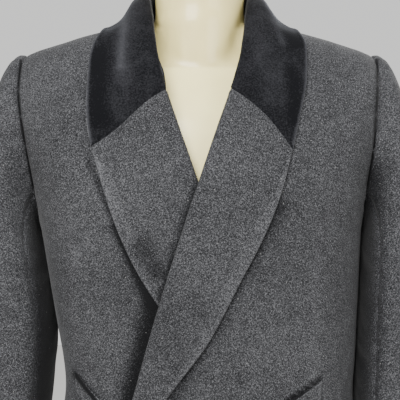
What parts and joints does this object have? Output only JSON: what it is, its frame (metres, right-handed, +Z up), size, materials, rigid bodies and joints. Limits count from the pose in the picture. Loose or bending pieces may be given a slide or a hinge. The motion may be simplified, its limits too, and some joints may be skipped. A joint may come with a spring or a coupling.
{
  "type": "chesterfield coat on a dress form",
  "caption": "Knee-length double-breasted wool overcoat with notchless lapels, a velvet collar and slanted welt pockets, buttoned on a limbless dress form on a stand.",
  "frame": {"origin": "centre of the stand base's underside, on the floor", "axes": "+Z up the pole and the form, -Y out of the coat's front, +X to the wearer's left"},
  "size_m": [0.6021, 0.368, 1.56],
  "materials": {
    "charcoal_wool": "matt charcoal wool with a fine crepe grain",
    "black_velvet": "black cotton velvet, short pile",
    "cream_form": "smooth cream, satin gloss",
    "black_horn": "black horn, satin",
    "stand_steel": "brushed steel"
  },
  "bodies": {
    "root": {"front_upper": "charcoal_wool", "front_under": "charcoal_wool", "back_left": "charcoal_wool", "back_right": "charcoal_wool", "sleeve_top_left": "charcoal_wool", "sleeve_top_right": "charcoal_wool", "sleeve_under_left": "charcoal_wool", "sleeve_under_right": "charcoal_wool", "lapel_upper": "charcoal_wool", "lapel_under": "charcoal_wool", "under_collar": "charcoal_wool", "pocket_welt_left": "charcoal_wool", "pocket_welt_right": "charcoal_wool", "top_collar": "black_velvet", "button_left_1": "black_horn", "button_right_1": "black_horn", "button_left_2": "black_horn", "button_right_2": "black_horn", "form_torso": "cream_form", "stand_pole": "stand_steel", "stand_base": "stand_steel"}
  },
  "joints": []
}
